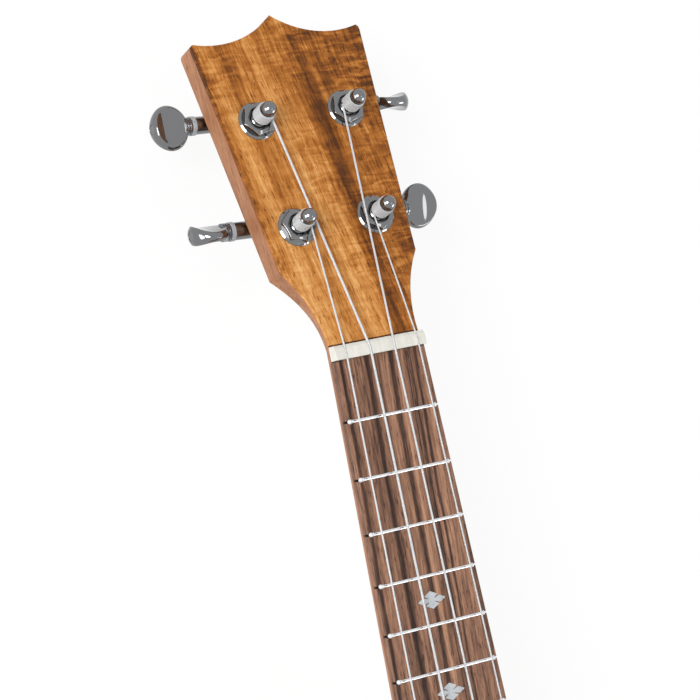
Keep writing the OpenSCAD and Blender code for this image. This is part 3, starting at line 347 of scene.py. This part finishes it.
# Metals, bone, pearl and plastics
def plated(name, tint, rough, edge=0.12, cloud=0.02, satin_ends=False, painted_highlight_edge=None):
    """Polished plating: faint handling clouds in the gloss and softly rounded edges.

    satin_ends dulls the ends of the frets, and painted_highlight_edge is the colour of a painted highlight on
    edges, which are also duller.
    """
    g = Graph(name)
    p = g.place()
    cloud_map = g.noise(g.scaled(p, (0.35, 0.35, 0.35)), 4, 0.6)
    fine = g.noise(g.scaled(p, (4.0, 4.0, 4.0)), 3, 0.5)
    gloss = g.math("MULTIPLY_ADD", cloud_map, cloud, rough - cloud / 2)
    shade = g.ramp(fine, ((0.3, [v * 0.97 for v in tint]), (0.7, tint)))
    rounded = g.node("Bevel", {"Radius": edge * MM}, samples=16 if painted_highlight_edge else 6).outputs[0]
    metal = 1.0
    if painted_highlight_edge:
        flat = g.node("NewGeometry").outputs["Normal"]
        level = g.node("VectorMath", {0: rounded, 1: flat}, operation="DOT_PRODUCT").outputs["Value"]
        # Painted highlight: near the edges the colour is mixed towards a near-white and the gloss is made
        # rougher
        painted_highlight_mask = g.span(level, 0.97, 0.8, 0, 1)
        shade = g.mix(painted_highlight_mask, shade, rgba(*painted_highlight_edge))
        gloss = g.math("MULTIPLY_ADD", painted_highlight_mask, 0.3, gloss)
    if satin_ends:
        x, y, _ = g.node("SeparateXYZ", {0: g.place((0, NUT_Y, 0))}).outputs
        filed = g.span(past_nut_width(g, x, y), FRET_FILED - FILED_SOFT, FRET_FILED + FILED_SOFT)
        gloss = g.math("MULTIPLY_ADD", filed, 0.35, gloss)
        metal = g.math("MULTIPLY_ADD", filed, -0.7, 1.0)
    return g.surface(base=shade, metallic=metal, roughness=gloss, normal=rounded)


CHROME = (0.2, 0.202, 0.207)
chrome = plated("chrome", CHROME, 0.06, 0.25)
# Bushings and washers: chrome with a painted highlight along their edges
bushing_chrome = plated("bushing_chrome", CHROME, 0.06, 0.25, painted_highlight_edge=(0.95, 0.97, 1.0))
# How far from the middle the satin fret ends begin at the nut, and half their soft edge
FRET_FILED, FILED_SOFT = 15.7, 0.3
wire = plated("fret_wire", (0.72, 0.725, 0.74), 0.17, 0.05, satin_ends=True)
steel = plated("steel", (0.6, 0.6, 0.62), 0.25, 0.05)
brass = plated("brass", (0.74, 0.55, 0.25), 0.24, 0.05)


def smooth_solid(name, low, high, scale, rough, **more):
    """Bone, nylon or plastic: two close colours in soft clouds."""
    g = Graph(name)
    p = g.place()
    clouds = g.noise(g.scaled(p, scale), 5, 0.6, 0.4)
    grain = g.noise(g.scaled(p, [v * 9 for v in scale]), 2)
    colour = g.ramp(clouds, ((0.3, low), (0.7, high)))
    gloss = g.span(grain, 0.3, 0.7, rough - 0.04, rough + 0.04, False)
    rounded = g.node("Bevel", {"Radius": 0.2 * MM}, samples=6).outputs[0]
    return g.surface(base=colour, roughness=gloss, normal=rounded, **more)


bone = smooth_solid("bone", (0.58, 0.565, 0.505), (0.7, 0.68, 0.615), (0.5, 0.1, 0.5), 0.36, specular=0.3)
nylon = smooth_solid("nylon", (0.49, 0.5, 0.51), (0.57, 0.575, 0.58), (0.4, 0.4, 0.4), 0.34, specular=0.4)
# Darker copy of the string's nylon for the turns on the posts: painted shade
wound_nylon_painted_shade = smooth_solid("nylon_turns_painted_shade", (0.4, 0.405, 0.41), (0.46, 0.465, 0.47), (0.4, 0.4, 0.4), 0.34,
                           specular=0.4)
spacer_grey = smooth_solid("spacer_grey", (0.3, 0.33, 0.36), (0.4, 0.43, 0.46), (0.6, 0.6, 0.6), 0.3)


def pearl_shell():
    """Mother of pearl in wavy layers, under a thin clear coat."""
    g = Graph("pearl")
    p = g.place()
    layers = g.noise(g.scaled(p, (0.4, 0.7, 0.4)), 4, 0.6, 2.2)
    colour = g.ramp(layers, ((0.3, (0.28, 0.31, 0.34)), (0.45, (0.5, 0.52, 0.53)), (0.55, (0.38, 0.42, 0.44)),
                             (0.7, (0.6, 0.61, 0.6))))
    return g.surface(base=colour, roughness=0.22, specular=0.6, coat=0.4, coat_roughness=0.08)


def ringed_inlay():
    """Rosette: dark wood between pale purfling lines, by the distance from the hole's middle."""
    lo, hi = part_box("rosette")
    middle = [(a + b) / 2 / MM for a, b in zip(lo, hi)]
    outer = (hi[0] - lo[0]) / 2 / MM
    g = Graph("rosette_rings")
    p = g.place(middle)
    axes = g.node("SeparateXYZ", {0: p})
    flat = g.node("CombineXYZ", {0: axes.outputs[0], 1: axes.outputs[1]}).outputs[0]
    radius = g.node("VectorMath", {0: flat}, operation="LENGTH").outputs["Value"]
    turn = g.math("ARCTAN2", axes.outputs[1], axes.outputs[0])
    slant = g.math("SINE", g.math("MULTIPLY_ADD", radius, 2.4, g.math("MULTIPLY", turn, 96.0)))
    from_edge = g.math("SUBTRACT", outer, radius)
    middle_band = g.math("ABSOLUTE", g.math("SUBTRACT", from_edge, 3.0))
    weave = g.math("MULTIPLY", g.span(slant, -0.2, 0.2), g.span(middle_band, 0.9, 1.0, 1, 0))
    lines = 0.0
    for place in (0.45, 1.45, 4.55, 5.55):
        off = g.math("ABSOLUTE", g.math("SUBTRACT", from_edge, place))
        lines = g.math("ADD", lines, g.span(off, 0.22, 0.3, 1, 0))
    speck = g.noise(g.scaled(p, (1.5, 1.5, 1.5)), 3)
    dark = g.ramp(speck, ((0.3, (0.03, 0.017, 0.012)), (0.7, (0.075, 0.045, 0.03))))
    pale = g.ramp(speck, ((0.3, (0.6, 0.5, 0.33)), (0.7, (0.72, 0.62, 0.44))))
    colour = g.mix(g.math("MAXIMUM", weave, lines, clamp=True), dark, pale)
    return g.surface(base=colour, roughness=0.4, specular=0.35)


pearl = pearl_shell()
rosette_rings = ringed_inlay()

FINISHES = {
    "headstock_veneer": face_koa, "neck": neck_mahogany, "heel_cap": rosewood, "fingerboard": board_rosewood,
    "frets": wire, "position_markers": pearl, "nut": bone, "saddle": bone, "bridge": rosewood,
    "soundboard": body_koa, "back": body_koa, "side_bass": side_koa, "side_treble": side_koa,
    "rosette": rosette_rings, "top_linings": spruce, "back_linings": spruce, "neck_block": mahogany,
    "tail_block": mahogany, "soundboard_braces": spruce, "bridge_plate": rosewood, "back_braces": spruce,
    "back_strip": spruce, "tuner_covers": chrome, "tuner_bushings": bushing_chrome,
    "tuner_washers": bushing_chrome, "tuner_screws": chrome, "button_spacers": spacer_grey,
    "string": nylon, "winding": nylon, "tuner_housing": chrome, "post": chrome, "button": chrome,
    "button_screw": chrome, "worm_wheel": brass, "worm_shaft": steel,
}
for name, piece in nodes.items():
    finish = FINISHES.get(name) or FINISHES[name.rsplit("_", 1)[0]]
    piece.data.materials.clear()
    piece.data.materials.append(finish)


# Strings, windings and buttons
def skin(rings, first=0):
    """Faces over rings of points with closed ends, counted from a first point."""
    count, last = len(rings[0]), first + (len(rings) - 1) * len(rings[0])
    faces = [(a + k, a + (k + 1) % count, a + count + (k + 1) % count, a + count + k)
             for a in range(first, last, count) for k in range(count)]
    return faces + [tuple(range(first + count - 1, first - 1, -1)), tuple(range(last, last + count))]


SHARP_ANGLE = math.radians(40)


def mesh_piece(name, skins, body, stands_for, finish):
    """Skins over rings of points in millimetres, riding on a body in place of a CAD node."""
    points, faces = [], []
    for rings in skins:
        faces += skin(rings, len(points))
        points += [Vector(p) * MM for ring in rings for p in ring]
    mesh = bpy.data.meshes.new(name)
    mesh.from_pydata(points, [], faces)
    mesh.polygons.foreach_set("use_smooth", [True] * len(faces))
    mesh.set_sharp_from_angle(angle=SHARP_ANGLE)
    mesh.materials.append(finish)
    obj = bpy.data.objects.new(name, mesh)
    bpy.context.collection.objects.link(obj)
    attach(obj, body)
    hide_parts(stands_for)
    return obj


def tube_rings(route, r, sides=14):
    """Rings of a radius round a route, carried along it without twist."""
    rings, last = len(route), None
    out = []
    for i, p in enumerate(route):
        t = (route[min(i + 1, rings - 1)] - route[max(i - 1, 0)]).normalized()
        if last is None:
            last = t.orthogonal()
        u = (last - t * last.dot(t)).normalized()
        v = t.cross(u)
        last = u
        out.append([p + r * (math.cos(a) * u + math.sin(a) * v)
                    for a in (2 * math.pi * k / sides for k in range(sides))])
    return out


WRAP_STEPS = 12
NUT_FLOOR = BOARD_Z + NUT_ACTION
SADDLE_Y = NUT_Y - SCALE_LENGTH - SADDLE_SHIFT
SADDLE_R = SADDLE_T / 2
CROWN_Z = BOARD_Z + SADDLE_ACTION - SADDLE_R
KNOT_Y = SADDLE_Y + BRIDGE_W / 3 - BRIDGE_W + KNOT_POCKET - KNOT_R - FIT


def string_places(i):
    """Width of string i, its place at the nut, its post, and how and where it meets the post."""
    d = STRING_D[i]
    nut = Vector(((i - 1.5) * NUT_SPACING + NUT_OFFSET, NUT_Y + NUT_T / 2, NUT_FLOOR + STRING_LIFT + d / 2))
    post = Vector((*POSTS[i], 0))
    hand = 1 if post.x < 0 else -1
    wind_r = BARREL_R + 2 * FIT + d / 2
    wind_z = BUSH_TOP + (WIND_GAP_LEFT if post.x < 0 else WIND_GAP_RIGHT)
    toward = to_face(nut) - post
    start = math.atan2(toward.y, toward.x) + hand * math.acos(wind_r / math.hypot(toward.x, toward.y))
    touch = post + Vector((wind_r * math.cos(start), wind_r * math.sin(start), wind_z))
    return d, nut, post, hand, wind_r, start, touch


def string_route(i):
    """From the knot over the saddle and the nut to where the winding begins."""
    d, nut, *_, touch = string_places(i)
    x = (i - 1.5) * SADDLE_SPACING
    knot = Vector((x, KNOT_Y, BODY_DEPTH + KNOT_H))
    r = SADDLE_R + STRING_LIFT + d / 2
    off = Vector((knot.y - SADDLE_Y, knot.z - CROWN_Z))
    first = math.atan2(off.y, off.x) + 2 * math.pi - math.acos(r / off.length)
    wrap = [Vector((x, SADDLE_Y + r * math.cos(a), CROWN_Z + r * math.sin(a)))
            for a in (first + (math.pi / 2 - first) * k / WRAP_STEPS for k in range(WRAP_STEPS + 1))]
    end = from_face(touch + (to_face(nut) - touch).normalized() * d)
    lead = nut - Vector((0, NUT_T / 2, 0))
    return [knot] + wrap + [wrap[-1].lerp(lead, k / 4) for k in range(1, 4)] + [lead, nut] + \
        [nut.lerp(end, k / 3) for k in range(1, 4)]


# Close turns: pitch in string widths, where they begin and end, and points in a turn
TURN_PITCH, TURNS_ABOVE_BUSH, TURNS_PAST_BARREL, STEPS_PER_TURN = 1.03, 0.35, 1.5, 40


def winding_routes(i):
    """The string's last stretch on to the post, and the close turns that cover the barrel."""
    d, nut, post, hand, wind_r, start, touch = string_places(i)
    pitch = TURN_PITCH * d
    low = (BUSH_TOP + TURNS_ABOVE_BUSH + d / 2 - touch.z) / pitch
    high = (BUSH_TOP + BARREL_L + TURNS_PAST_BARREL - d / 2 - touch.z) / pitch
    steps = int((high - low) * STEPS_PER_TURN)
    helix = []
    for k in range(steps + 1):
        turn = low + (high - low) * k / steps
        a = start + hand * 2 * math.pi * turn
        helix.append(post + Vector((wind_r * math.cos(a), wind_r * math.sin(a), touch.z + pitch * turn)))
    lead = touch + (to_face(nut) - touch).normalized() * d
    return [[from_face(p) for p in route] for route in ([lead, lead.lerp(touch, 0.5), touch], helix)]


# A knot's steps from end to end, points in a ring, and how far and how often it swells
KNOT_STEPS, KNOT_SIDES, KNOT_SWELL, KNOT_LUMPS = 12, 18, 0.05, 5


def knot_rings(i):
    """Slightly lumpy ball of string at the tail end, as rings for a skin."""
    centre = Vector(((i - 1.5) * SADDLE_SPACING, KNOT_Y, BODY_DEPTH + KNOT_H))
    rings = []
    for k in range(1, KNOT_STEPS):
        a = math.pi * k / KNOT_STEPS
        swell = KNOT_R * (1 + KNOT_SWELL * math.sin(KNOT_LUMPS * a))
        rings.append([centre + Vector((swell * math.sin(a) * math.cos(b), -swell * math.cos(a),
                                       swell * math.sin(a) * math.sin(b)))
                      for b in (2 * math.pi * j / KNOT_SIDES for j in range(KNOT_SIDES))])
    return rings


for i, key in enumerate(STRINGS):
    radius = STRING_D[i] / 2
    mesh_piece(f"taut_string_{key}", [tube_rings(string_route(i), radius, 12), knot_rings(i)], "instrument",
               f"string_{key}", nylon)
    mesh_piece(f"post_turns_{key}", [tube_rings(route, radius) for route in winding_routes(i)],
               f"post_body_{key}", f"winding_{key}", wound_nylon_painted_shade)


OVAL_MID = BUTTON_L - OVAL_L / 2
BUTTON_CROWN, GROOVE_R, COLLAR_SIDES, RECESS_SIDES = 0.4, 2.95, 64, 48
# Rings of a button's face, in shares of its outline: the first, the span, and how far the last is drawn in
RING_FIRST, RING_SPAN, RING_LIP, RING_STEPS = 0.04, 0.82, 0.03, 12
# Rings of its wall: how much narrower it is at the faces, and the share of the thickness that it covers
WALL_SWELL, WALL_TOP, WALL_STEPS = 0.14, 0.985, 18


def button_half_t(z):
    """Half the thickness of a button at a distance along its shaft: both faces are hollow."""
    d = z - OVAL_MID
    edge = BUTTON_END_T if d > 0 else BUTTON_NECK_T
    return (BUTTON_WAIST_T + (edge - BUTTON_WAIST_T) * (2 * d / OVAL_L) ** 2) / 2


def button_ring(size, t, sides=120):
    """Oval of a button at a share of its outline and of its thickness, a little crowned across the shaft."""
    ring = []
    for k in range(sides):
        a = 2 * math.pi * k / sides
        z = OVAL_MID + size * OVAL_L / 2 * math.cos(a)
        across = size * math.sin(a)
        ring.append(Vector((t * (button_half_t(z) - BUTTON_CROWN * across ** 2), -across * OVAL_W / 2, z)))
    return ring


def button_rings():
    """From the middle of one hollow face over the swelling wall to the other."""
    face = [(RING_FIRST + RING_SPAN * k / RING_STEPS - RING_LIP * (k == RING_STEPS), 1.0)
            for k in range(RING_STEPS + 1)]
    wall = [(1 - WALL_SWELL * t * t, t)
            for t in (WALL_TOP - 2 * WALL_TOP * k / WALL_STEPS for k in range(WALL_STEPS + 1))]
    back = [(size, -t) for size, t in reversed(face)]
    return [button_ring(size, t) for size, t in face + wall + back]


def collar_rings():
    """Round collar between a button and its spacer, with two grooves."""
    profile = ((0.0, GROOVE_R), (0.15, 3.2), (0.65, COLLAR_R), (0.8, GROOVE_R), (1.05, GROOVE_R),
               (1.2, COLLAR_R), (1.7, COLLAR_R), (1.85, GROOVE_R), (2.1, GROOVE_R), (2.25, COLLAR_R),
               (COLLAR_L + 0.4, COLLAR_R))
    turns = [2 * math.pi * k / COLLAR_SIDES for k in range(COLLAR_SIDES)]
    return [[Vector((r * math.cos(a), r * math.sin(a), z)) for a in turns] for z, r in profile]


def button_frame(i):
    """Matrix from a button's own frame, along its shaft, to the part's frame."""
    px, ps = POSTS[i]
    hand = 1 if px > 0 else -1
    turn = math.radians(TUNER_TURN)
    out = Vector((hand * math.cos(turn), -hand * math.sin(turn), 0))
    up = Vector((math.sin(turn), math.cos(turn), 0))
    origin = Vector((px, ps, -CORE_T - VENEER_T - WORM_BACK)) + up * WORM_C + out * BUTTON_START
    columns = [FACE_AXES @ Vector((0, 0, -1)), FACE_AXES @ up, FACE_AXES @ out]
    m = Matrix.Identity(4)
    for c, column in enumerate(columns):
        for r in range(3):
            m[r][c] = column[r]
    m.translation = from_face(origin)
    return m @ Matrix.Rotation(math.radians(BUTTON_TURN[i]), 4, "Z")


def sink(form, to_part):
    """Cut the screw's recess into the end of a button."""
    r = BUTTON_SCREW_R + 2 * FIT
    turns = [2 * math.pi * k / RECESS_SIDES for k in range(RECESS_SIDES)]
    ends = [[to_part @ Vector((r * math.cos(a), r * math.sin(a), z)) * MM for a in turns]
            for z in (BUTTON_L - HEAD_SINK, BUTTON_L + 2)]
    if to_part.determinant() < 0:
        ends = [ring[::-1] for ring in ends]
    mesh = bpy.data.meshes.new("recess")
    mesh.from_pydata([p for ring in ends for p in ring], [], skin(ends))
    tool = bpy.data.objects.new("recess", mesh)
    bpy.context.collection.objects.link(tool)
    cut = form.modifiers.new("recess", "BOOLEAN")
    cut.operation, cut.solver, cut.object = "DIFFERENCE", "EXACT", tool
    shaped = bpy.data.meshes.new_from_object(form.evaluated_get(bpy.context.evaluated_depsgraph_get()))
    form.modifiers.clear()
    form.data = shaped
    bpy.data.objects.remove(tool)


for i, key in enumerate(STRINGS):
    to_part = button_frame(i)
    skins = [[[to_part @ p for p in ring] for ring in rings] for rings in (button_rings(), collar_rings())]
    if to_part.determinant() < 0:
        skins = [[ring[::-1] for ring in rings] for rings in skins]
    form = mesh_piece(f"button_form_{key}", skins, f"button_body_{key}", f"button_{key}", chrome)
    sink(form, to_part)


# Camera, from the photo's perspective
RIGHT, DOWN, AHEAD = ((0.85761122, -0.20583718, 0.47131099), (-0.1650937, -0.9780983, -0.12675875),
                      (0.48708015, 0.03089925, -0.8728105))
EYE = Vector((-478.2226, NUT_Y - 26.8529, BOARD_Z + 836.8220)) * MM
FOCAL_PX, PHOTO_PX, SENSOR_MM = 2800.77, 700, 36
camera_data = bpy.data.cameras.new("camera")
camera_data.sensor_fit = "HORIZONTAL"
camera_data.sensor_width = SENSOR_MM
camera_data.lens = FOCAL_PX / PHOTO_PX * SENSOR_MM
camera_data.clip_end = 20
camera = bpy.data.objects.new("camera", camera_data)
bpy.context.collection.objects.link(camera)
camera.matrix_world = Matrix([(RIGHT[r], -DOWN[r], -AHEAD[r], EYE[r]) for r in range(3)] + [(0, 0, 0, 1)])
bpy.context.scene.camera = camera

# Studio
WORLD_COLOUR, WORLD_LIGHT = rgba(0.97, 0.985, 1.0), 0.55
# Share of the floor's white that doesn't depend on the lamps (the rest keeps the shadow), and its own colour
FLOOR_WHITE, FLOOR_COLOUR = 0.88, rgba(0.95, 0.95, 0.95)
scene = bpy.context.scene
scene.view_settings.view_transform = "Standard"
world = bpy.data.worlds.new("studio")
scene.world = world
world.use_nodes = True
sky = world.node_tree
sky.nodes.clear()
rays = sky.nodes.new("ShaderNodeLightPath")
lit = sky.nodes.new("ShaderNodeBackground")
seen = sky.nodes.new("ShaderNodeBackground")
lit.inputs[0].default_value = WORLD_COLOUR
lit.inputs[1].default_value = WORLD_LIGHT
seen.inputs[0].default_value = rgba(1, 1, 1)
seen.inputs[1].default_value = 1.0


def any_ray(tree, light_path):
    """1 for rays of the camera, of gloss and of clear matter."""
    total = None
    for name in ("Is Camera Ray", "Is Glossy Ray", "Is Transmission Ray"):
        if total is None:
            total = light_path.outputs[name]
            continue
        either = tree.nodes.new("ShaderNodeMath")
        either.operation = "MAXIMUM"
        tree.links.new(total, either.inputs[0])
        tree.links.new(light_path.outputs[name], either.inputs[1])
        total = either.outputs[0]
    return total


blend = sky.nodes.new("ShaderNodeMixShader")
sky_out = sky.nodes.new("ShaderNodeOutputWorld")
sky.links.new(any_ray(sky, rays), blend.inputs[0])
sky.links.new(lit.outputs[0], blend.inputs[1])
sky.links.new(seen.outputs[0], blend.inputs[2])
sky.links.new(blend.outputs[0], sky_out.inputs[0])


def flat_card(name, centre, facing, width, height, material):
    """Rectangle about a centre, its face towards a point."""
    mesh = bpy.data.meshes.new(name)
    w, h = width / 2, height / 2
    mesh.from_pydata([(-w, -h, 0), (w, -h, 0), (w, h, 0), (-w, h, 0)], [], [(0, 1, 2, 3)])
    mesh.materials.append(material)
    obj = bpy.data.objects.new(name, mesh)
    bpy.context.collection.objects.link(obj)
    turn = (Vector(facing) - Vector(centre)).to_track_quat("Z", "Y")
    obj.matrix_world = Matrix.Translation(centre) @ turn.to_matrix().to_4x4()


def floor_finish():
    """Pale floor: white to the camera and to metal, with the object's soft shadow kept."""
    g = Graph("floor_pale")
    light_path = g.node("LightPath")
    white = g.node("Emission", {0: rgba(1, 1, 1), 1: 1.0})
    matt = g.node("BsdfDiffuse", {0: FLOOR_COLOUR})
    share = g.math("MULTIPLY", any_ray(g.tree, light_path), FLOOR_WHITE)
    both = g.node("MixShader", {0: share, 1: matt.outputs[0], 2: white.outputs[0]})
    out = g.node("OutputMaterial")
    g.tree.links.new(both.outputs[0], out.inputs[0])
    return g.material


FLOOR_Z, FLOOR_SIZE = -0.0002, 12
flat_card("floor", (0, 0, FLOOR_Z), (0, 0, 1), FLOOR_SIZE, FLOOR_SIZE, floor_finish())

# The point of the headstock's face that the lamps are set round
HEAD_MIDDLE = from_face((0, 62, 0)) * MM


def heading(azimuth, elevation):
    """Unit vector of an azimuth from +x and an elevation, in degrees."""
    a, e = math.radians(azimuth), math.radians(elevation)
    return Vector((math.cos(e) * math.cos(a), math.cos(e) * math.sin(a), math.sin(e)))


def lamp(name, place, aim, size, watts):
    """Round soft lamp, aimed at a point."""
    data = bpy.data.lights.new(name, "AREA")
    data.shape = "DISK"
    data.size = size
    data.energy = watts
    obj = bpy.data.objects.new(name, data)
    bpy.context.collection.objects.link(obj)
    turn = (Vector(aim) - Vector(place)).to_track_quat("-Z", "Y")
    obj.matrix_world = Matrix.Translation(place) @ turn.to_matrix().to_4x4()
    return obj


lamp("key", HEAD_MIDDLE + Vector((-0.91, 0.07, 0.92)), HEAD_MIDDLE, size=0.7, watts=14.5)
fill = lamp("fill", HEAD_MIDDLE + Vector((0.9, -0.6, 1.2)), HEAD_MIDDLE, size=1.2, watts=5)
fill.visible_glossy = False
# Soft lamps for the highlights alone, seen from the headstock: azimuth, elevation, half width, brightness
GLINTS = ((313, 19, 15, 5.0), (182, 7, 19, 5.0), (310, 64, 6, 3.0))
GLINT_DISTANCE = 1.6
for i, (azimuth, elevation, half, bright) in enumerate(GLINTS):
    reach = GLINT_DISTANCE * math.tan(math.radians(half))
    glint = lamp(f"glint_{i}", HEAD_MIDDLE + GLINT_DISTANCE * heading(azimuth, elevation), HEAD_MIDDLE,
                 2 * reach, bright * (math.pi * reach) ** 2)
    glint.visible_diffuse = False
